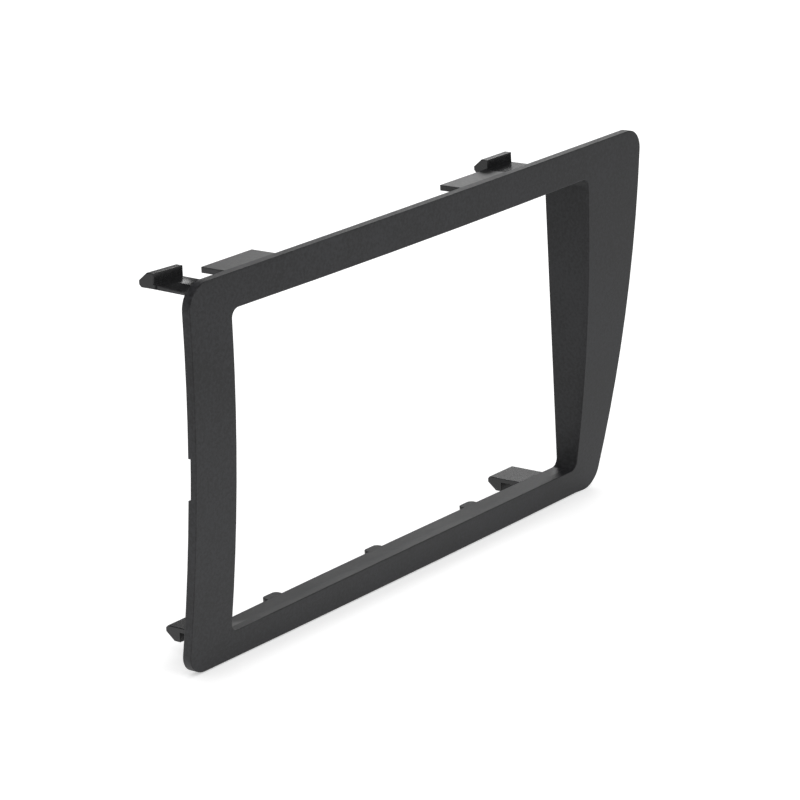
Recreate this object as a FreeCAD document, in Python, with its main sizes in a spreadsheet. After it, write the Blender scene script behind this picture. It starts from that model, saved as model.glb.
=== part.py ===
import FreeCAD, Part
import math
import os

import Sketcher

# Car radio mounting frame
# One moulding of rigid black plastic that fills the dashboard around a
# double-height radio: a thin face with a shallow rim, a collar around the
# radio opening, hook clips, tabs and locating lugs on the back.
#
# Frame of the part: X to the right, Y back into the dashboard, Z up. The
# origin is the centre of the radio opening, in the flat plane of the
# collar's rear edge, so the face lies at negative Y.

# Driving sizes in millimetres and degrees
SIZES = {
    # Outline of the face, measured out from the sides of the opening
    "frame_left": 17.7,
    "frame_top": 11.4,
    "frame_bottom": 9.4,
    "right_reach_top": 31.5,
    "right_reach_bottom": 12.6,
    "right_side_radius": 1860.0,
    "corner_top_left": 8.0,
    "corner_top_right": 6.5,
    "corner_bottom_left": 7.0,
    "corner_bottom_right": 7.5,
    "corner_drop": 0.9,
    "corner_drop_length": 11.0,
    # Face, crowned both ways and leaning forward at the top
    "face_radius_up": 630.0,
    "face_radius_across": 7650.0,
    "crown_above": 59.1,
    "crown_left": 19.0,
    "face_wall": 2.0,
    "rim_depth": 3.1,
    "rim_wall": 2.0,
    # Radio opening and the collar around it
    "opening_width": 178.0,
    "opening_height": 101.8,
    "opening_bow": 0.45,
    "opening_corner": 3.0,
    "opening_draft": 1.4,
    "collar_wall": 2.0,
    "collar_depth": 15.6,
    "rib_thickness": 1.5,
    "rib_pitch": 45.0,
    "rib_side_pitch": 44.0,
    "rib_lead": 7.0,
    "rib_lead_floor": 2.3,
    # Hook clips, two on the top rim and two behind the collar's floor
    "clip_width": 12.6,
    "clip_plate": 1.4,
    "clip_rise": 3.2,
    "clip_crest": 2.4,
    "clip_foot": 5.6,
    "clip_nose": 1.2,
    "top_clip_grip": 6.9,
    # Inner side of the left top clip, measured in from the frame's left side
    "top_clip_left": 8.4,
    "top_clip_lift": 0.15,
    "top_clip_roll": 2.2,
    "top_clip_right": 60.0,
    "floor_clip_grip": 8.6,
    "floor_clip_grip_left": 8.0,
    "floor_clip_drop": 0.25,
    # Inner sides of the floor clips, measured in from the opening's sides
    "floor_clip_left": 7.4,
    "floor_clip_right": 20.7,
    # Flat tabs on the top rim, the left one measured in from the frame's left
    "tab_thickness": 1.8,
    "tab_left_from": 19.0,
    "tab_left_width": 22.5,
    "tab_left_reach": 9.4,
    "tab_right_from": 24.2,
    "tab_right_reach": 8.3,
    # Locating lugs behind the collar's floor, the first one measured in
    # from the opening's left side
    "lug_width": 6.8,
    "lug_length": 3.3,
    "lug_thickness": 1.4,
    "lug_round": 1.6,
    "lug_first": 30.4,
    "lug_pitch": 49.7,
    # Relief in the rear lip of the left rim
    "relief_depth": 0.9,
    "relief_above": 9.8,
    "relief_below": 3.3,
    # How far pieces run into each other where they are one moulding
    "root": 1.0,
}

LUG_COUNT = 3
SWEEP_DEGREES = 3.0
SECTOR_DEGREES = 20.0


class Size:
    """A size as a sheet expression together with its present value."""

    def __init__(self, text, value):
        self.text = text
        self.value = float(value)

    def _join(self, other, sign, result):
        return Size("(%s %s %s)" % (self.text, sign, other.text), result)

    def __add__(self, other):
        other = as_size(other)
        return self._join(other, "+", self.value + other.value)

    def __sub__(self, other):
        other = as_size(other)
        return self._join(other, "-", self.value - other.value)

    def __mul__(self, other):
        other = as_size(other)
        return self._join(other, "*", self.value * other.value)

    def __truediv__(self, other):
        other = as_size(other)
        return self._join(other, "/", self.value / other.value)

    def __neg__(self):
        return as_size(0) - self


def as_size(value):
    """Return a number as a Size, and a Size unchanged."""
    if isinstance(value, Size):
        return value
    return Size(repr(float(value)), value)


def root_of(value):
    """Return the square root of a Size."""
    return Size("sqrt(%s)" % value.text, math.sqrt(value.value))


doc = FreeCAD.newDocument("RadioFrame")
sheet = doc.addObject("Spreadsheet::Sheet", "Sizes")
for row, (alias, number) in enumerate(SIZES.items(), start=1):
    sheet.set("A%d" % row, alias)
    sheet.set("B%d" % row, str(number))
    sheet.setAlias("B%d" % row, alias)
doc.recompute()


def size(alias):
    """Return one named size from the sheet."""
    return Size("Sizes." + alias, sheet.get(alias))


def bind(feature, prop, value):
    """Tie a property of a feature to a Size."""
    feature.setExpression(prop, as_size(value).text)


def new_body(name):
    """Return a new body, labelled like its name."""
    body = doc.addObject("PartDesign::Body", name)
    body.Label = name
    return body


def new_sketch(body, name, role, offset=None):
    """Return a sketch on one of the body's own origin planes."""
    sketch = body.newObject("Sketcher::SketchObject", name)
    plane = [f for f in body.Origin.OriginFeatures if f.Role == role][0]
    sketch.AttachmentSupport = [(plane, "")]
    sketch.MapMode = "FlatFace"
    if offset is not None:
        bind(sketch, "AttachmentOffset.Base.z", offset)
    return sketch


def outline(sketch, corners, arcs=None):
    """Draw a closed outline through the corners, each tied to the sheet.

    Sides named in arcs, by the number of their first corner, are arcs of the
    given radius: positive bulges out of a counter-clockwise outline.
    """
    arcs = arcs or {}
    corners = [(as_size(x), as_size(y)) for x, y in corners]
    points = [FreeCAD.Vector(x.value, y.value, 0) for x, y in corners]
    count = len(points)
    first_of = {}
    for i in range(count):
        start = points[i]
        end = points[(i + 1) % count]
        if i in arcs:
            radius = arcs[i].value
            chord = end - start
            half = chord.Length / 2
            rise = abs(radius) - math.sqrt(radius * radius - half * half)
            out = FreeCAD.Vector(chord.y, -chord.x, 0).normalize()
            middle = (start + end) / 2 + out * math.copysign(rise, radius)
            curve = Part.Arc(start, middle, end).toShape().Curve
            edge = Part.Arc(start, middle, end)
            sketch.addGeometry(edge, False)
            turned = curve.Axis.z < 0
            first_of[i] = (2, 1) if turned else (1, 2)
        else:
            sketch.addGeometry(Part.LineSegment(start, end), False)
            first_of[i] = (1, 2)
    for i in range(count):
        after = (i + 1) % count
        sketch.addConstraint(Sketcher.Constraint(
            "Coincident", i, first_of[i][1], after, first_of[after][0]))
    for i, (x, y) in enumerate(corners):
        across = sketch.addConstraint(Sketcher.Constraint(
            "DistanceX", -1, 1, i, first_of[i][0], x.value))
        bind(sketch, "Constraints[%d]" % across, x)
        along = sketch.addConstraint(Sketcher.Constraint(
            "DistanceY", -1, 1, i, first_of[i][0], y.value))
        bind(sketch, "Constraints[%d]" % along, y)
    for i, radius in arcs.items():
        bent = sketch.addConstraint(Sketcher.Constraint(
            "Radius", i, abs(radius.value)))
        bind(sketch, "Constraints[%d]" % bent,
             radius if radius.value > 0 else -radius)


def pad(body, sketch, name, length, back=False, taper=None):
    """Pad a sketch along its normal, or against it where back is set."""
    feature = body.newObject("PartDesign::Pad", name)
    feature.Profile = sketch
    feature.Reversed = back
    bind(feature, "Length", length)
    if taper is not None:
        bind(feature, "TaperAngle", taper)
    doc.recompute()
    return feature


def round_edges(body, base, name, radius, near):
    """Round the straight edges along Y or Z that pass near the given places."""
    found = []
    for number, edge in enumerate(base.Shape.Edges, start=1):
        middle = edge.CenterOfMass
        for place in near:
            gap = FreeCAD.Vector(
                0 if place[0] is None else middle.x - place[0],
                0 if place[1] is None else middle.y - place[1],
                0 if place[2] is None else middle.z - place[2])
            if gap.Length < 0.6:
                found.append("Edge%d" % number)
    feature = body.newObject("PartDesign::Fillet", name)
    feature.Base = (base, found)
    bind(feature, "Radius", radius)
    doc.recompute()
    return feature


def crowned(name, depth):
    """Return a solid that fills the space behind the face, from a depth on."""
    up = size("face_radius_up")
    across = size("face_radius_across")
    torus = doc.addObject("Part::Torus", name)
    torus.Label = name
    bind(torus, "Radius1", across - up)
    bind(torus, "Radius2", up - depth)
    torus.Angle1 = -SECTOR_DEGREES
    torus.Angle2 = SECTOR_DEGREES
    torus.Angle3 = SWEEP_DEGREES
    torus.Placement = FreeCAD.Placement(
        FreeCAD.Vector(0, 0, 0),
        FreeCAD.Rotation(FreeCAD.Vector(0, 0, 1), -90 - SWEEP_DEGREES / 2))
    bind(torus, "Placement.Base.x", -size("crown_left"))
    bind(torus, "Placement.Base.y", crown_y + across)
    bind(torus, "Placement.Base.z", size("crown_above"))
    return torus


def joined(kind, name, pieces):
    """Return a boolean of the given kind over the pieces."""
    feature = doc.addObject(kind, name)
    feature.Label = name
    if kind == "Part::Cut":
        feature.Base = pieces[0]
        feature.Tool = pieces[1]
    else:
        feature.Shapes = pieces
    doc.recompute()
    return feature


# Places that several pieces share
half_width = size("opening_width") / 2
half_height = size("opening_height") / 2
left = -(half_width + size("frame_left"))
top = half_height + size("frame_top")
bottom = -(half_height + size("frame_bottom"))
right_top = half_width + size("right_reach_top")
right_bottom = half_width + size("right_reach_bottom")
up = size("face_radius_up")
above = size("crown_above")
lean = up - root_of(up * up - above * above)
crown_y = -size("collar_depth") - lean
rim_rear_top = crown_y + size("rim_depth")
front_y = crown_y - size("root")
bow = size("opening_bow")
bow_radius = (half_width * half_width + bow * bow) / (bow * 2)
draft_angle = size("opening_draft")
draft_in = size("collar_depth") * Size("tan(%s * 1 deg)" % draft_angle.text,
                                       math.tan(math.radians(draft_angle.value)))
rear_width = half_width - draft_in
rear_height = half_height - draft_in
floor = -(rear_height + bow)
wall = size("collar_wall")
root = size("root")


def frame_outline(sketch, inset):
    """Draw the outline of the face, moved inwards by the inset."""
    drop_from = right_bottom - size("corner_drop_length")
    corners = [
        (left + inset, bottom + inset),
        (drop_from, bottom + inset),
        (right_bottom - inset, bottom - size("corner_drop") + inset),
        (right_top - inset, top - inset),
        (left + inset, top - inset),
    ]
    outline(sketch, corners, {2: size("right_side_radius") - inset})


def frame_block(name, inset):
    """Return a prism of the frame's outline with its corners rounded."""
    body = new_body(name)
    sketch = new_sketch(body, name + "Outline", "XZ_Plane", -front_y)
    frame_outline(sketch, inset)
    block = pad(body, sketch, name + "Pad", -front_y, back=True)
    x_left = left.value + inset.value
    x_top = right_top.value - inset.value
    x_bottom = right_bottom.value - inset.value
    z_top = top.value - inset.value
    z_low = bottom.value + inset.value
    z_drop = z_low - size("corner_drop").value
    rounded = round_edges(body, block, name + "CornerA",
                          size("corner_top_left") - inset, [(x_left, None, z_top)])
    rounded = round_edges(body, rounded, name + "CornerB",
                          size("corner_top_right") - inset, [(x_top, None, z_top)])
    rounded = round_edges(body, rounded, name + "CornerC",
                          size("corner_bottom_left") - inset, [(x_left, None, z_low)])
    round_edges(body, rounded, name + "CornerD",
                size("corner_bottom_right") - inset, [(x_bottom, None, z_drop)])
    return body


def opening_block(name, grow, rear, length, corner):
    """Return a drafted prism of the radio opening, wider by grow all round."""
    body = new_body(name)
    sketch = new_sketch(body, name + "Outline", "XZ_Plane", -rear)
    x = rear_width + grow
    z = rear_height + bow + grow
    outline(sketch, [(-x, -z), (x, -z), (x, z), (-x, z)],
            {0: -bow_radius, 2: -bow_radius})
    block = pad(body, sketch, name + "Pad", length, taper=size("opening_draft"))
    places = []
    for edge in block.Shape.Edges:
        ends = edge.Vertexes
        if len(ends) == 2 and abs(ends[0].Point.y - ends[1].Point.y) > length.value / 2:
            places.append(tuple(edge.CenterOfMass))
    round_edges(body, block, name + "Corners", corner, places)
    return body


# Face and rim: the outline trimmed to the crowned surfaces
no_inset = as_size(0)
outer_block = frame_block("OuterBlock", no_inset)
inner_block = frame_block("InnerBlock", size("rim_wall"))
face_front = crowned("FaceFront", no_inset)
face_back = crowned("FaceBack", size("face_wall"))
rim_rear = crowned("RimRear", size("rim_depth"))
rim_slab = joined("Part::MultiCommon", "RimSlab", [outer_block, face_front])
rim_trimmed = joined("Part::Cut", "RimTrimmed", [rim_slab, rim_rear])
hollow = joined("Part::MultiCommon", "Hollow", [inner_block, face_back])
face_shell = joined("Part::Cut", "FaceShell", [rim_trimmed, hollow])

# Collar: a drafted tube from the face to a flat rear plane
collar_block = opening_block("CollarBlock", wall, no_inset, -front_y,
                             size("opening_corner") + wall)
collar_front = crowned("CollarFront", size("face_wall") / 2)
collar = joined("Part::MultiCommon", "Collar", [collar_block, collar_front])
opening = opening_block("Opening", no_inset, root, root - front_y,
                        size("opening_corner"))

# Hook clips: a plate that reaches back and a barbed hook across its end
floor_clip_level = floor - size("floor_clip_drop") - size("clip_plate")
top_hook_y = rim_rear_top + size("top_clip_grip")


def clip(name, start_x, level, hook_y, start_y, upward):
    """Return a hook clip whose gripping surface lies at the given level."""
    body = new_body(name)
    sketch = new_sketch(body, name + "Profile", "YZ_Plane", start_x)
    turn = as_size(1 if upward else -1)
    plate = size("clip_plate")
    half_nose = size("clip_nose") / 2
    tip_y = hook_y + size("clip_foot")
    crest = level + turn * size("clip_rise")
    outline(sketch, [
        (start_y, level - turn * plate),
        (tip_y - plate + half_nose, level - turn * plate),
        (tip_y, level - turn * half_nose),
        (tip_y, level + turn * half_nose),
        (hook_y + size("clip_crest"), crest),
        (hook_y, crest),
        (hook_y, level),
        (start_y, level),
    ])
    pad(body, sketch, name + "Pad", size("clip_width"))
    return body


# The left top clip stands past the corner, so its plate runs from the
# curved corner of the rim to a flat, wider root under the hook. The clip
# is rolled about its inner side, with its outer side the higher one.
left_inner_x = left + size("top_clip_left")
left_level = top + size("top_clip_lift")
left_clip = clip("TopClipLeft", -size("clip_width"), as_size(0), top_hook_y,
                 top_hook_y - root / 2, True)
left_clip.Placement.Rotation = FreeCAD.Rotation(FreeCAD.Vector(0, 1, 0), 0)
bind(left_clip, "Placement.Rotation.Angle", size("top_clip_roll"))
bind(left_clip, "Placement.Base.x", left_inner_x)
bind(left_clip, "Placement.Base.z", left_level)
doc.recompute()
CORNER_ANGLES = (117.0, 140.0)
left_root = new_body("TopClipRoot")
corner = size("corner_top_left")
corner_x = left + corner
corner_z = top - corner
inner = corner - size("clip_plate")
curved = [(left_inner_x, top)]
back_of_curve = [(left_inner_x, top - size("clip_plate"))]
for angle in CORNER_ANGLES:
    cos_a = math.cos(math.radians(angle))
    sin_a = math.sin(math.radians(angle))
    curved.append((corner_x + corner * cos_a, corner_z + corner * sin_a))
    back_of_curve.append((corner_x + inner * cos_a, corner_z + inner * sin_a))
root_start = new_sketch(left_root, "TopClipRootStart", "XZ_Plane",
                        root / 2 - rim_rear_top)
outline(root_start, curved + back_of_curve[::-1])
root_end = new_sketch(left_root, "TopClipRootEnd", "XZ_Plane", -(top_hook_y + root))
plate_low = left_level - size("clip_plate")
left_outer_x = left_inner_x - size("clip_width")
middle_x = left_inner_x - size("clip_width") / 2
roll = size("top_clip_roll")
roll_rise = size("clip_width") * Size("tan(%s * 1 deg)" % roll.text,
                                      math.tan(math.radians(roll.value)))
outline(root_end, [
    (left_inner_x, left_level),
    (middle_x, left_level + roll_rise / 2),
    (left_outer_x, left_level + roll_rise),
    (left_outer_x, plate_low + roll_rise),
    (middle_x, plate_low + roll_rise / 2),
    (left_inner_x, plate_low),
])
doc.recompute()
root_loft = left_root.newObject("PartDesign::AdditiveLoft", "TopClipRootLoft")
root_loft.Profile = root_start
root_loft.Sections = [root_end]
root_loft.Ruled = True
doc.recompute()

right_clip = clip("TopClipRight", size("top_clip_right") - size("clip_width"), top,
                  top_hook_y, rim_rear_top - root, True)
floor_clip_a = clip("FloorClipLeft",
                    size("floor_clip_left") - half_width - size("clip_width"),
                    floor_clip_level, size("floor_clip_grip_left"), -root, False)
floor_clip_b = clip("FloorClipRight", half_width - size("floor_clip_right"),
                    floor_clip_level, size("floor_clip_grip"), -root, False)


def tab(name, start_x, width, reach):
    """Return a flat tab that continues the top of the rim backwards."""
    plate = doc.addObject("Part::Box", name)
    plate.Label = name
    bind(plate, "Length", width)
    bind(plate, "Width", reach + root)
    bind(plate, "Height", size("tab_thickness"))
    bind(plate, "Placement.Base.x", start_x)
    bind(plate, "Placement.Base.y", rim_rear_top - root)
    bind(plate, "Placement.Base.z", top - size("tab_thickness"))
    return plate


tab_left = tab("TabLeft", left + size("tab_left_from"), size("tab_left_width"),
               size("tab_left_reach"))
tab_right_width = size("top_clip_right") - size("clip_width") - size("tab_right_from")
tab_right = tab("TabRight", size("tab_right_from"), tab_right_width,
                size("tab_right_reach"))

# Locating lugs along the collar's floor
lugs = new_body("Lugs")
lug_sketch = new_sketch(lugs, "LugOutline", "XY_Plane", floor - size("lug_thickness"))
lug_x = size("lug_first") - half_width
half_lug = size("lug_width") / 2
outline(lug_sketch, [
    (lug_x - half_lug, -root),
    (lug_x + half_lug, -root),
    (lug_x + half_lug, size("lug_length")),
    (lug_x - half_lug, size("lug_length")),
])
lug_pad = pad(lugs, lug_sketch, "LugPad", size("lug_thickness"))
lug_rounded = round_edges(lugs, lug_pad, "LugNose", size("lug_round"), [
    ((lug_x - half_lug).value, size("lug_length").value, None),
    ((lug_x + half_lug).value, size("lug_length").value, None)])


def repeated(body, first, name, role, pitch, count):
    """Repeat the first feature of a body along one of its axes."""
    axis = [f for f in body.Origin.OriginFeatures if f.Role == role][0]
    pattern = body.newObject("PartDesign::LinearPattern", name)
    pattern.Originals = first
    pattern.Direction = (axis, [""])
    bind(pattern, "Length", pitch * (count - 1))
    pattern.Occurrences = count
    body.Tip = pattern
    doc.recompute()


repeated(lugs, [lug_pad, lug_rounded], "LugRow", "X_Axis", size("lug_pitch"), LUG_COUNT)

# Gusset ribs on the back, between the collar and the face
collar_z = rear_height + wall
collar_x = rear_width + wall
rim_rear_low = rim_rear_top + up - root_of(
    up * up - (above - bottom) * (above - bottom))
rib = size("rib_thickness")
lead = size("rib_lead")


def rib_row(name, role, axis, start, spread, corners, count):
    """Return a row of gussets of one profile, trimmed to the face's back."""
    body = new_body(name)
    sketch = new_sketch(body, name + "Profile", role, start)
    outline(sketch, corners)
    first = pad(body, sketch, name + "Pad", rib)
    repeated(body, [first], name + "Row", axis, spread, count)
    return joined("Part::MultiCommon", name + "Trimmed", [body, collar_front])


top_ribs = rib_row(
    "TopRibs", "YZ_Plane", "X_Axis", -size("rib_pitch") - rib / 2, size("rib_pitch"), [
        (front_y, collar_z - root / 2),
        (-lead, collar_z - root / 2),
        (-lead, collar_z),
        (rim_rear_top, top - size("rim_wall")),
        (rim_rear_top, top - size("rim_wall") / 2),
        (front_y, top - size("rim_wall") / 2),
    ], 3)
floor_lead = size("rib_lead_floor")
floor_ribs = rib_row(
    "FloorRibs", "YZ_Plane", "X_Axis", -size("rib_pitch") - rib / 2, size("rib_pitch"), [
        (front_y, root / 2 - collar_z),
        (-floor_lead, root / 2 - collar_z),
        (-floor_lead, -collar_z),
        (rim_rear_low - root, bottom + size("rim_wall")),
        (rim_rear_low - root, bottom + size("rim_wall") / 2),
        (front_y, bottom + size("rim_wall") / 2),
    ], 3)
left_ribs = rib_row(
    "LeftRibs", "XY_Plane", "Z_Axis", -(size("rib_side_pitch") + rib) / 2,
    size("rib_side_pitch"), [
        (root / 2 - collar_x, front_y),
        (root / 2 - collar_x, -lead),
        (-collar_x, -lead),
        (left + size("rim_wall"), rim_rear_top),
        (left + size("rim_wall") / 2, rim_rear_top),
        (left + size("rim_wall") / 2, front_y),
    ], 2)
right_ribs = rib_row(
    "RightRibs", "XY_Plane", "Z_Axis", -(size("rib_side_pitch") + rib) / 2,
    size("rib_side_pitch"), [
        (collar_x - root / 2, front_y),
        (right_bottom + root, front_y),
        (right_bottom + root, rim_rear_top),
        (collar_x, -lead),
        (collar_x - root / 2, -lead),
    ], 2)

# Relief in the rear lip of the left rim
relief_box = doc.addObject("Part::Box", "ReliefBox")
bind(relief_box, "Length", size("rim_wall") + root)
bind(relief_box, "Width", -front_y)
bind(relief_box, "Height", size("relief_above") + size("relief_below"))
bind(relief_box, "Placement.Base.x", left - root)
bind(relief_box, "Placement.Base.y", front_y)
bind(relief_box, "Placement.Base.z", -size("relief_below"))
relief_depth = crowned("ReliefDepth", size("rim_depth") - size("relief_depth"))
relief = joined("Part::MultiCommon", "Relief", [relief_box, relief_depth])

# The one moulding
fused = joined("Part::MultiFuse", "Fused", [
    face_shell, collar, top_ribs, floor_ribs, left_ribs, right_ribs, left_clip,
    left_root, right_clip, floor_clip_a, floor_clip_b, tab_left, tab_right, lugs])
opened = joined("Part::Cut", "Opened", [fused, opening])
frame = joined("Part::Cut", "mounting_frame", [opened, relief])
doc.recompute()


def check(document, parts):
    """Stop if any object failed or a finished shape isn't one sound solid."""
    for item in document.Objects:
        if "Invalid" in item.State or "Error" in item.State:
            raise RuntimeError("%s did not build" % item.Name)
    for part in parts:
        shape = part.Shape
        if shape.isNull() or not shape.isValid():
            raise RuntimeError("%s has no valid shape" % part.Label)
        if len(shape.Solids) != 1:
            raise RuntimeError("%s is %d solids" % (part.Label, len(shape.Solids)))


check(doc, [frame])
os.makedirs("parts", exist_ok=True)
frame.Shape.exportStep("parts/%s.step" % frame.Label)
print("%s volume %.1f mm3" % (frame.Label, frame.Shape.Volume))
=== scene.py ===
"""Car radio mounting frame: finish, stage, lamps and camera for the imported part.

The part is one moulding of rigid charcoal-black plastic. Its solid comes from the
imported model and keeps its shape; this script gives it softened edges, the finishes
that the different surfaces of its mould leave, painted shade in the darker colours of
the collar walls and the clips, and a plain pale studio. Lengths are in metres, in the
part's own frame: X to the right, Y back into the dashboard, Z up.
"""

import logging
import math
from dataclasses import dataclass, field
from enum import Enum
from functools import reduce
from typing import Any, Dict, Mapping, Optional, Sequence, Tuple, Union

import bpy
import numpy as np
from mathutils import Matrix, Vector

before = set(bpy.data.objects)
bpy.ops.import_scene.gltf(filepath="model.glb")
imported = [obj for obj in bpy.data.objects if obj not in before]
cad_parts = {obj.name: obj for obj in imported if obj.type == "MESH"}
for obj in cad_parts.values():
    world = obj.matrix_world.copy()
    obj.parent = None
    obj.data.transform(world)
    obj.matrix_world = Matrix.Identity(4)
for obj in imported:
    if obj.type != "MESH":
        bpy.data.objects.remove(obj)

LOG = logging.getLogger("radio_frame")
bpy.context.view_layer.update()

Triple = Tuple[float, float, float]
Span = Tuple[Triple, Triple]
Paint = Tuple[float, float, float, float]

WHITE: Paint = (1.0, 1.0, 1.0, 1.0)


def paint(colour: Triple) -> Paint:
    """Return a linear colour as the shader sockets take it."""
    return (*colour, 1.0)


@dataclass(frozen=True)
class Noise:
    """A noise: the size of its features in metres, its octaves and their weight."""

    size: float
    detail: float
    roughness: float


class Wire:
    """One output of a node, on which plain expressions add Math nodes."""

    def __init__(self, graph: "Graph", socket: Optional[bpy.types.NodeSocket]) -> None:
        """Hold a socket of the graph.

        Args:
            graph: The graph that the socket belongs to.
            socket: The output that the wire carries, or None if the node has none.
        """
        self.graph = graph
        self.socket = socket

    def _math(self, operation: str, *values: Any) -> "Wire":
        """Return the result of a Math node over the values."""
        inputs = dict(enumerate(values))
        return self.graph.node("ShaderNodeMath", {"operation": operation}, inputs)

    def __add__(self, other: Any) -> "Wire":
        """Return self + other."""
        return self._math("ADD", self, other)

    __radd__ = __add__

    def __sub__(self, other: Any) -> "Wire":
        """Return self - other."""
        return self._math("SUBTRACT", self, other)

    def __rsub__(self, other: Any) -> "Wire":
        """Return other - self."""
        return self._math("SUBTRACT", other, self)

    def __mul__(self, other: Any) -> "Wire":
        """Return self * other."""
        return self._math("MULTIPLY", self, other)

    __rmul__ = __mul__

    def __truediv__(self, other: Any) -> "Wire":
        """Return self / other."""
        return self._math("DIVIDE", self, other)

    def __abs__(self) -> "Wire":
        """Return the size of self without its sign."""
        return self._math("ABSOLUTE", self)

    def most(self, other: Any) -> "Wire":
        """Return the larger of self and other."""
        return self._math("MAXIMUM", self, other)

    def least(self, other: Any) -> "Wire":
        """Return the smaller of self and other."""
        return self._math("MINIMUM", self, other)

    def between(self, start: Any, end: Any) -> "Wire":
        """Return start where self is 0, end where it is 1, and a line between."""
        return start + self * (end - start)

    def ramp(self, low: float, high: float) -> "Wire":
        """Return an eased step over a range of self.

        Args:
            low: The value below which the step is 0.
            high: The value above which the step is 1.

        Returns:
            The step as a wire.
        """
        return self.graph.node(
            "ShaderNodeMapRange",
            {"interpolation_type": "SMOOTHSTEP"},
            {0: self, 1: low, 2: high, 3: 0.0, 4: 1.0},
        )


class Graph:
    """A node tree that is filled through one node-making method."""

    def __init__(self, tree: bpy.types.NodeTree) -> None:
        """Empty the tree and keep it.

        Args:
            tree: The node tree of a material or of the world.
        """
        self.tree = tree
        tree.nodes.clear()

    def node(
        self,
        kind: str,
        settings: Optional[Mapping[str, Any]] = None,
        inputs: Optional[Mapping[Union[int, str], Any]] = None,
        output: Union[int, str] = 0,
    ) -> Wire:
        """Add a node and return one of its outputs.

        Args:
            kind: The node's type.
            settings: Its own settings, which are set first.
            inputs: Values or wires for its sockets, by name or number.
            output: The output that is returned, by name or number.

        Returns:
            The output as a wire.
        """
        made = self.tree.nodes.new(kind)
        for name, value in (settings or {}).items():
            setattr(made, name, value)
        for key, value in (inputs or {}).items():
            if isinstance(value, Wire):
                self.tree.links.new(value.socket, made.inputs[key])
            else:
                made.inputs[key].default_value = value
        return Wire(self, made.outputs[output] if len(made.outputs) else None)

    def axes(self, vector: Wire) -> Tuple[Wire, Wire, Wire]:
        """Split a vector.

        Args:
            vector: The vector as a wire.

        Returns:
            Its three components.
        """
        first = self.node("ShaderNodeSeparateXYZ", {}, {0: vector})
        outputs = first.socket.node.outputs
        return Wire(self, outputs[0]), Wire(self, outputs[1]), Wire(self, outputs[2])

    def place(self, kind: str) -> Wire:
        """Return one output of a Texture Coordinate node."""
        return self.node("ShaderNodeTexCoord", output=kind)

    def ray(self, kind: str) -> Wire:
        """Return 1 for one kind of ray, from a Light Path node, and 0 for others."""
        return self.node("ShaderNodeLightPath", output=f"Is {kind} Ray")

    def blend(self, factor: Wire, first: Paint, second: Paint) -> Wire:
        """Blend two colours.

        Args:
            factor: 0 for the first colour and 1 for the second.
            first: The first colour.
            second: The second colour.

        Returns:
            The colour as a wire.
        """
        inputs = {0: factor, 6: first, 7: second}
        return self.node("ShaderNodeMix", {"data_type": "RGBA"}, inputs, output=2)

    def stretched(self, vector: Wire, scale: Triple) -> Wire:
        """Return the vector with each component multiplied by its own scale."""
        multiply = {"operation": "MULTIPLY"}
        return self.node("ShaderNodeVectorMath", multiply, {0: vector, 1: scale})

    def noise(self, vector: Wire, noise: Noise) -> Wire:
        """Add a noise.

        Args:
            vector: The coordinates that it reads, in metres.
            noise: Its size and character.

        Returns:
            A value about 0.5.
        """
        return self.node(
            "ShaderNodeTexNoise",
            {"noise_dimensions": "3D"},
            {
                "Vector": vector,
                "Scale": 1.0 / noise.size,
                "Detail": noise.detail,
                "Roughness": noise.roughness,
            },
        )

    def mixed(self, factor: Wire, first: Wire, second: Wire) -> Wire:
        """Return a shader between first and second."""
        return self.node("ShaderNodeMixShader", {}, {0: factor, 1: first, 2: second})


class Finish(Enum):
    """The surfaces of the mould, each of which leaves its own finish; the collar's and
    the clips' darker colours are painted shade.
    """

    SHOW = "spark-eroded show face and rim"
    COLLAR_FINISH_AND_SHADE = "collar walls, stoned along the opening"
    BACK = "plain milled back and tabs"
    CLIP_FINISH_AND_SHADE = "polished cores of the clips"


@dataclass(frozen=True)
class Imprint:
    """What one surface of the mould leaves on the plastic, and for the collar and the
    clips a darker colour that is painted shade.

    The colour and the roughness vary with a mottle, from colour to lift and by
    the spread about the roughness. The heights are in metres, of the grain and
    of the fine lines that the toolmaker's stone leaves along the surface, and
    the roll is the slope of the soft roll at the surface's front edge.
    """

    colour: Triple
    lift: Triple
    roughness: float
    spread: float
    specular: float
    grain_height: float
    line_height: float = 0.0
    roll: float = 0.0


IMPRINTS: Dict[Finish, Imprint] = {
    Finish.SHOW: Imprint(
        colour=(0.0150, 0.0152, 0.0162),
        lift=(0.0330, 0.0336, 0.0368),
        roughness=0.50,
        spread=0.10,
        specular=0.35,
        grain_height=0.000020,
    ),
    # The collar's colour and lift are darker than the show face's: painted shade
    # inside the opening. Its roughness, the stone's lines and the roll are its finish.
    Finish.COLLAR_FINISH_AND_SHADE: Imprint(
        colour=(0.0120, 0.0122, 0.0129),
        lift=(0.0260, 0.0264, 0.0287),
        roughness=0.50,
        spread=0.08,
        specular=0.36,
        grain_height=0.000008,
        line_height=0.000004,
        roll=0.12,
    ),
    Finish.BACK: Imprint(
        colour=(0.0170, 0.0172, 0.0180),
        lift=(0.0300, 0.0303, 0.0318),
        roughness=0.38,
        spread=0.08,
        specular=0.5,
        grain_height=0.0000025,
        line_height=0.0000015,
    ),
    # The clips' colour and lift are the darkest: painted shade and painted dark
    # reflection on their polished hooks and plates. The low roughness is their polish.
    Finish.CLIP_FINISH_AND_SHADE: Imprint(
        colour=(0.0110, 0.0111, 0.0115),
        lift=(0.0160, 0.0162, 0.0169),
        roughness=0.20,
        spread=0.05,
        specular=0.5,
        grain_height=0.0000006,
    ),
}


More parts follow.
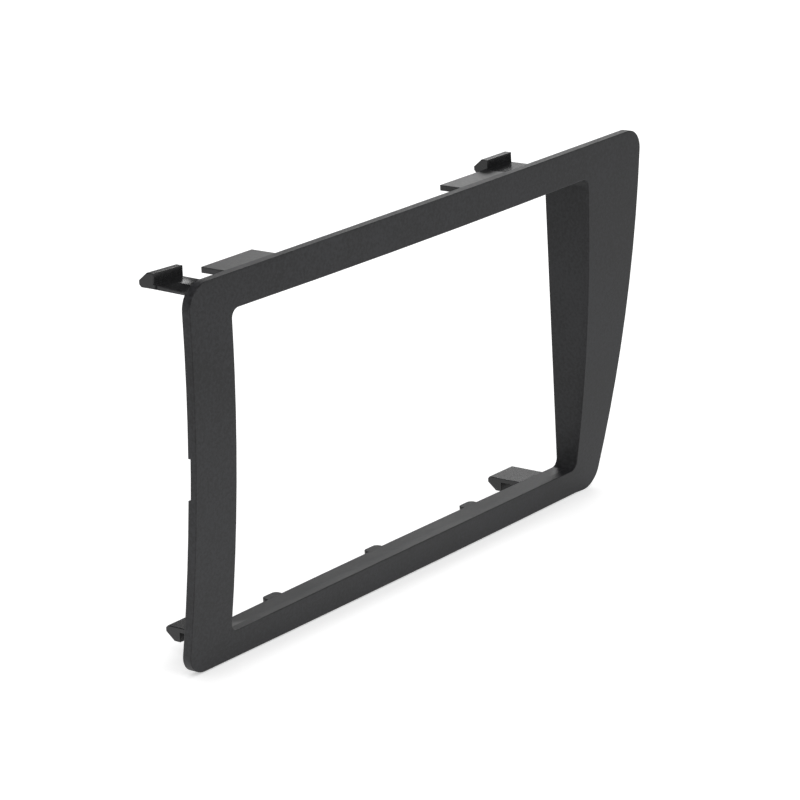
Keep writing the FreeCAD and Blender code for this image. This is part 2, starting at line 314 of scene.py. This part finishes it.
@dataclass(frozen=True)
class Zones:
    """Where each finish lies, as masks worked out from Object coordinates.

    A mask runs from 0 to 1 over the edge's width. The opening's half sizes are
    those of its middle, where its top and bottom bow out. What faces the
    dashboard is told by the Y part of its normal.
    """

    half_width: float = 0.0890
    half_height: float = 0.0509
    bow: float = 0.00045
    crown: Triple = (-0.0190, -0.018378, 0.0591)
    radius_across: float = 7.65
    radius_up: float = 0.63
    rim_depth: float = 0.0031
    edge: float = 0.0001
    facing_low: float = 0.4
    facing_high: float = 0.6
    clips: Tuple[Span, ...] = (
        ((-0.1111, -0.0152, 0.0600), (-0.0981, -0.0020, 0.0670)),
        ((0.0473, -0.0152, 0.0607), (0.0602, -0.0020, 0.0660)),
        ((-0.0944, 0.0003, -0.0562), (-0.0814, 0.0150, -0.0509)),
        ((0.0681, 0.0003, -0.0562), (0.0811, 0.0150, -0.0509)),
    )

    def depth(self, x: Wire, y: Wire, z: Wire) -> Wire:
        """Tell how far a point lies behind the crowned face.

        The face lies at the crown's y plus the square of the distance from the
        crown over twice the radius, across and up.

        Args:
            x: The point's x.
            y: The point's y.
            z: The point's z.

        Returns:
            The depth in metres.
        """
        across = x - self.crown[0]
        up = z - self.crown[2]
        bend_across = across * across * (0.5 / self.radius_across)
        bend_up = up * up * (0.5 / self.radius_up)
        return y - self.crown[1] - (bend_across + bend_up)

    def collar(self, x: Wire, z: Wire) -> Wire:
        """Mask the opening, whose top and bottom bow out as a parabola.

        Args:
            x: The point's x.
            z: The point's z.

        Returns:
            1 within the opening.
        """
        off_middle = x / self.half_width
        height = self.half_height + self.bow * (1 - off_middle * off_middle)
        outside = (abs(x) - self.half_width).most(abs(z) - height)
        return 1 - outside.ramp(0.0, self.edge)

    def back(self, depth: Wire, facing_back: Wire) -> Wire:
        """Mask the hidden side.

        Args:
            depth: The depth behind the face.
            facing_back: The Y part of the surface's normal.

        Returns:
            1 behind the rim and on what faces the dashboard.
        """
        behind = depth.ramp(self.rim_depth, self.rim_depth + self.edge)
        return behind.most(facing_back.ramp(self.facing_low, self.facing_high))

    def clip(self, point: Tuple[Wire, Wire, Wire]) -> Wire:
        """Mask the clips' boxes.

        A box's mask is the smallest of its three bands, and a band is 1 where
        the distance from the box's middle is under its half size.

        Args:
            point: The point's three coordinates.

        Returns:
            1 inside any of the boxes.
        """
        masks = []
        for low, high in self.clips:
            bands = []
            for axis, start, end in zip(point, low, high):
                half = (end - start) / 2
                distance = abs(axis - (start + end) / 2)
                bands.append(1 - distance.ramp(half - self.edge, half + self.edge))
            masks.append(reduce(Wire.least, bands))
        return reduce(Wire.most, masks)


@dataclass(frozen=True)
class Patterns:
    """The patterns over the surface that every finish draws on.

    Rounded is the normal with the edges softened, depth is the distance behind
    the face, and the others are noises.
    """

    depth: Wire
    rounded: Wire
    flow: Wire
    speck: Wire
    grain: Wire
    lines: Wire


@dataclass(frozen=True)
class MouldedPlastic:
    """Rigid black plastic as it leaves its mould, one imprint for each zone, with
    painted shade in the collar's and the clips' darker colours.

    The mottle is the flow's share of the wide flow noise and the rest of the
    speck noise, eased between its low and its high value. The specks also
    stand up, speck_rise times as far as the grain.
    """

    name: str = "black_moulded_plastic"
    zones: Zones = field(default_factory=Zones)
    flow: Noise = Noise(0.028, 3.0, 0.45)
    speck: Noise = Noise(0.0010, 4.0, 0.65)
    grain: Noise = Noise(0.00042, 2.0, 0.55)
    lines: Noise = Noise(0.00035, 2.0, 0.5)
    line_stretch: Triple = (0.03, 1.0, 0.03)
    speck_rise: float = 1.5
    flow_share: float = 0.3
    mottle_low: float = 0.38
    mottle_high: float = 0.62
    roll_reach: float = 0.0036
    edge_radius: float = 0.0005
    edge_samples: int = 8

    def _patterns(self, graph: Graph, place: Wire, depth: Wire) -> Patterns:
        """Add the shared patterns.

        Args:
            graph: The material's graph.
            place: Object coordinates.
            depth: Distance behind the face.

        Returns:
            The patterns, with the softened edges' normal among them.
        """
        samples = {"samples": self.edge_samples}
        radius = {"Radius": self.edge_radius}
        return Patterns(
            depth=depth,
            rounded=graph.node("ShaderNodeBevel", samples, radius),
            flow=graph.noise(place, self.flow),
            speck=graph.noise(place, self.speck),
            grain=graph.noise(place, self.grain),
            lines=graph.noise(graph.stretched(place, self.line_stretch), self.lines),
        )

    def _height(self, imprint: Imprint, patterns: Patterns) -> Wire:
        """Work out the relief of one imprint.

        It is the grain and specks, the stone's lines, and the soft roll
        towards the face, whose slope grows evenly to the front edge.

        Args:
            imprint: The finish.
            patterns: The shared patterns.

        Returns:
            The height in metres.
        """
        grain = patterns.grain + patterns.speck * self.speck_rise
        height = grain * imprint.grain_height
        if imprint.line_height:
            height = height + patterns.lines * imprint.line_height
        if imprint.roll:
            short = (self.roll_reach - patterns.depth).most(0.0)
            height = height - short * short * (imprint.roll / (2 * self.roll_reach))
        return height

    def _imprint(self, graph: Graph, imprint: Imprint, patterns: Patterns) -> Wire:
        """Add the shader of one imprint.

        Args:
            graph: The material's graph.
            imprint: The finish.
            patterns: The shared patterns.

        Returns:
            The finished surface as a shader wire.
        """
        relief = graph.node(
            "ShaderNodeBump",
            {},
            {
                "Strength": 1.0,
                "Distance": 1.0,
                "Height": self._height(imprint, patterns),
                "Normal": patterns.rounded,
            },
        )
        cloud = patterns.speck.between(0.0, 1 - self.flow_share)
        mottle = (patterns.flow * self.flow_share + cloud).ramp(
            self.mottle_low, self.mottle_high
        )
        smoothest = imprint.roughness - imprint.spread / 2
        return graph.node(
            "ShaderNodeBsdfPrincipled",
            {},
            {
                "Base Color": graph.blend(
                    mottle, paint(imprint.colour), paint(imprint.lift)
                ),
                "Roughness": mottle.between(smoothest, smoothest + imprint.spread),
                "Specular IOR Level": imprint.specular,
                "Normal": relief,
            },
        )

    def material(self) -> bpy.types.Material:
        """Build the material.

        Returns:
            A node-based material that reads Object coordinates and normals.
        """
        made = bpy.data.materials.new(self.name)
        made.use_nodes = True
        graph = Graph(made.node_tree)
        place = graph.place("Object")
        x, y, z = graph.axes(place)
        _, facing_back, _ = graph.axes(graph.place("Normal"))
        depth = self.zones.depth(x, y, z)
        patterns = self._patterns(graph, place, depth)
        # The collar and clip imprints also lay painted shade through their darker
        # colours.
        masks = {
            Finish.BACK: self.zones.back(depth, facing_back),
            Finish.COLLAR_FINISH_AND_SHADE: self.zones.collar(x, z),
            Finish.CLIP_FINISH_AND_SHADE: self.zones.clip((x, y, z)),
        }
        shader = self._imprint(graph, IMPRINTS[Finish.SHOW], patterns)
        for finish, mask in masks.items():
            worked = self._imprint(graph, IMPRINTS[finish], patterns)
            shader = graph.mixed(mask, shader, worked)
            LOG.info("finish: %s", finish.value)
        graph.node("ShaderNodeOutputMaterial", {}, {"Surface": shader})
        return made


@dataclass
class MountingFrame:
    """The frame itself: the CAD solid in its moulded finish, with painted shade on the
    collar and the clips.
    """

    node: str = "mounting_frame"
    plastic: MouldedPlastic = field(default_factory=MouldedPlastic)

    def dress(self) -> bpy.types.Object:
        """Give the CAD solid its finish and its painted shade.

        Returns:
            The dressed object.
        """
        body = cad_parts[self.node]
        plastic = self.plastic.material()
        for slot in body.material_slots:
            slot.material = plastic
        return body


@dataclass(frozen=True)
class Softbox:
    """A rectangular studio lamp that shines towards a point of the object."""

    name: str
    place: Triple
    width: float
    height: float
    power: float
    aim: Triple = (0.0, 0.0, 0.0)

    def build(self) -> bpy.types.Object:
        """Make the lamp and turn it to its aim.

        Returns:
            The lamp.
        """
        data = bpy.data.lights.new(self.name, "AREA")
        data.shape = "RECTANGLE"
        data.size = self.width
        data.size_y = self.height
        data.energy = self.power
        lamp = bpy.data.objects.new(self.name, data)
        lamp.location = self.place
        direction = Vector(self.aim) - Vector(self.place)
        lamp.rotation_euler = direction.to_track_quat("-Z", "Y").to_euler()
        bpy.context.scene.collection.objects.link(lamp)
        return lamp


@dataclass(frozen=True)
class Surround:
    """The white world round the studio.

    The camera sees plain white. Gloss sees a wide backdrop of its own
    brightness, which is dimmed towards the ceiling, towards the left and the
    back, and in front of the object. Each dimming has its level and the span
    of the ray's direction over which it sets in.
    """

    ambient: float = 0.75
    backdrop_gloss: float = 0.6
    ceiling_gloss: float = 0.12
    ceiling_span: Tuple[float, float] = (0.26, 0.52)
    side_gloss: float = 0.42
    side_span: Tuple[float, float] = (0.04, 0.18)
    front_gloss: float = 0.20
    front_span: Tuple[float, float] = (-0.35, 0.10)

    def _gloss(self, across: Wire, away: Wire, rise: Wire) -> Wire:
        """Work out what gloss sees in a direction.

        Args:
            across: The direction's x.
            away: The direction's y.
            rise: The direction's z.

        Returns:
            The strength of the light.
        """
        side = (across - away).ramp(*self.side_span).between(self.side_gloss, 1.0)
        front = away.ramp(*self.front_span).between(self.front_gloss, 1.0)
        ceiling = rise.ramp(*self.ceiling_span).between(1.0, self.ceiling_gloss)
        return self.backdrop_gloss * side * front * ceiling

    def build(self) -> bpy.types.World:
        """Make the world and set it as the scene's own.

        Returns:
            The world.
        """
        world = bpy.data.worlds.new("studio_surround")
        bpy.context.scene.world = world
        world.use_nodes = True
        graph = Graph(world.node_tree)
        gloss = self._gloss(*graph.axes(graph.place("Generated")))
        white = graph.ray("Camera").most(graph.ray("Transmission"))
        plain = white.between(self.ambient, 1.0)
        strength = graph.ray("Glossy").between(plain, gloss)
        light = {"Color": WHITE, "Strength": strength}
        surface = graph.node("ShaderNodeBackground", {}, light)
        graph.node("ShaderNodeOutputWorld", {}, {"Surface": surface})
        return world


@dataclass(frozen=True)
class Floor:
    """A pale disc under the frame that runs into the white surround.

    Its glow makes it read as white to the camera. Gloss sees a share of the glow
    everywhere and more of it in a painted pool of light near the middle.
    """

    name: str = "studio_floor"
    level: float = -0.0607
    radius: float = 2.4
    corners: int = 96
    colour: Triple = (0.80, 0.80, 0.80)
    glow: float = 0.45
    even_share: float = 0.36
    # The painted pool of light that gloss sees on the floor: its share of the glow,
    # its middle and its reach.
    painted_light_pool_share: float = 0.30
    painted_light_pool_place: Tuple[float, float] = (-0.08, -0.04)
    painted_light_pool_reach: float = 0.24

    def _material(self) -> bpy.types.Material:
        """Build the floor's matt paint, its glow and the painted pool of light that
        gloss sees.

        Returns:
            The material.
        """
        made = bpy.data.materials.new(f"{self.name}_paint")
        made.use_nodes = True
        graph = Graph(made.node_tree)
        matt = graph.node("ShaderNodeBsdfDiffuse", {}, {"Color": paint(self.colour)})
        light = {"Color": WHITE, "Strength": self.glow}
        glow = graph.node("ShaderNodeEmission", {}, light)
        glowing = graph.node("ShaderNodeAddShader", {}, {0: matt, 1: glow})
        # Painted pool of light: gloss sees more glow near the pool's middle, fading
        # out over its reach.
        x, y, _ = graph.axes(graph.place("Object"))
        off_x, off_y = x - self.painted_light_pool_place[0], y - self.painted_light_pool_place[1]
        off_painted_light_pool = off_x * off_x + off_y * off_y
        painted_light_pool = 1 - off_painted_light_pool.ramp(0.0, self.painted_light_pool_reach * self.painted_light_pool_reach)
        in_gloss = graph.ray("Glossy") * (self.even_share + painted_light_pool * self.painted_light_pool_share)
        shader = graph.mixed(graph.ray("Camera").most(in_gloss), matt, glowing)
        graph.node("ShaderNodeOutputMaterial", {}, {"Surface": shader})
        return made

    def build(self) -> bpy.types.Object:
        """Make the disc, whose points are radius times cosine and sine.

        Returns:
            The floor.
        """
        turns = np.linspace(0.0, 2 * math.pi, self.corners, endpoint=False)
        points = np.stack(
            [
                self.radius * np.cos(turns),
                self.radius * np.sin(turns),
                np.full_like(turns, self.level),
            ],
            axis=1,
        )
        mesh = bpy.data.meshes.new(self.name)
        mesh.from_pydata(points.tolist(), [], [list(range(self.corners))])
        mesh.materials.append(self._material())
        made = bpy.data.objects.new(self.name, mesh)
        bpy.context.scene.collection.objects.link(made)
        return made


@dataclass(frozen=True)
class Studio:
    """The white surround, the pale floor and two soft lamps."""

    surround: Surround = field(default_factory=Surround)
    floor: Floor = field(default_factory=Floor)
    lamps: Sequence[Softbox] = (
        Softbox("key_softbox", (-0.55, -0.55, 1.05), 0.9, 0.9, 3.0),
        Softbox("back_softbox", (1.36, 0.72, 0.95), 0.9, 0.6, 6.3, (0.05, 0.0, 0.03)),
    )

    def build(self) -> None:
        """Make the surround, the floor and the lamps."""
        for piece in (self.surround, self.floor, *self.lamps):
            LOG.info("studio: %s", piece.build().name)


@dataclass(frozen=True)
class PhotoCamera:
    """The camera that stands where the photograph was taken.

    The rows are the camera's right, down and forward directions, and the
    focal length is in pixels of an image 800 pixels wide, whose middle lies
    right_pixels to the left of the lens's axis.
    """

    name: str = "photo_camera"
    place: Triple = (-0.788367, -0.659466, 0.311698)
    right: Triple = (0.624433, -0.779207, -0.054039)
    down: Triple = (-0.261507, -0.143370, -0.954494)
    forward: Triple = (0.736001, 0.610149, -0.293293)
    focal_pixels: float = 3381.228
    image_pixels: float = 800.0
    right_pixels: float = 0.6
    sensor: float = 36.0
    nearest: float = 0.01
    farthest: float = 50.0

    def build(self) -> bpy.types.Object:
        """Make the camera and set it as the scene's own.

        Returns:
            The camera.
        """
        data = bpy.data.cameras.new(self.name)
        data.sensor_fit = "HORIZONTAL"
        data.sensor_width = self.sensor
        data.lens = self.focal_pixels / self.image_pixels * self.sensor
        data.shift_x = -self.right_pixels / self.image_pixels
        data.clip_start = self.nearest
        data.clip_end = self.farthest
        made = bpy.data.objects.new(self.name, data)
        rows = (Vector(self.right), -Vector(self.down), -Vector(self.forward))
        turn = Matrix(rows).transposed().to_4x4()
        made.matrix_world = Matrix.Translation(Vector(self.place)) @ turn
        bpy.context.scene.collection.objects.link(made)
        bpy.context.scene.camera = made
        return made


def main() -> None:
    """Build the camera, the dressed frame and the studio in order."""
    logging.basicConfig(level=logging.INFO, format="%(message)s")
    bpy.context.scene.view_settings.view_transform = "Standard"
    LOG.info("camera: %s", PhotoCamera().build().name)
    LOG.info("dressed: %s", MountingFrame().dress().name)
    Studio().build()


if __name__ == "__main__":
    main()
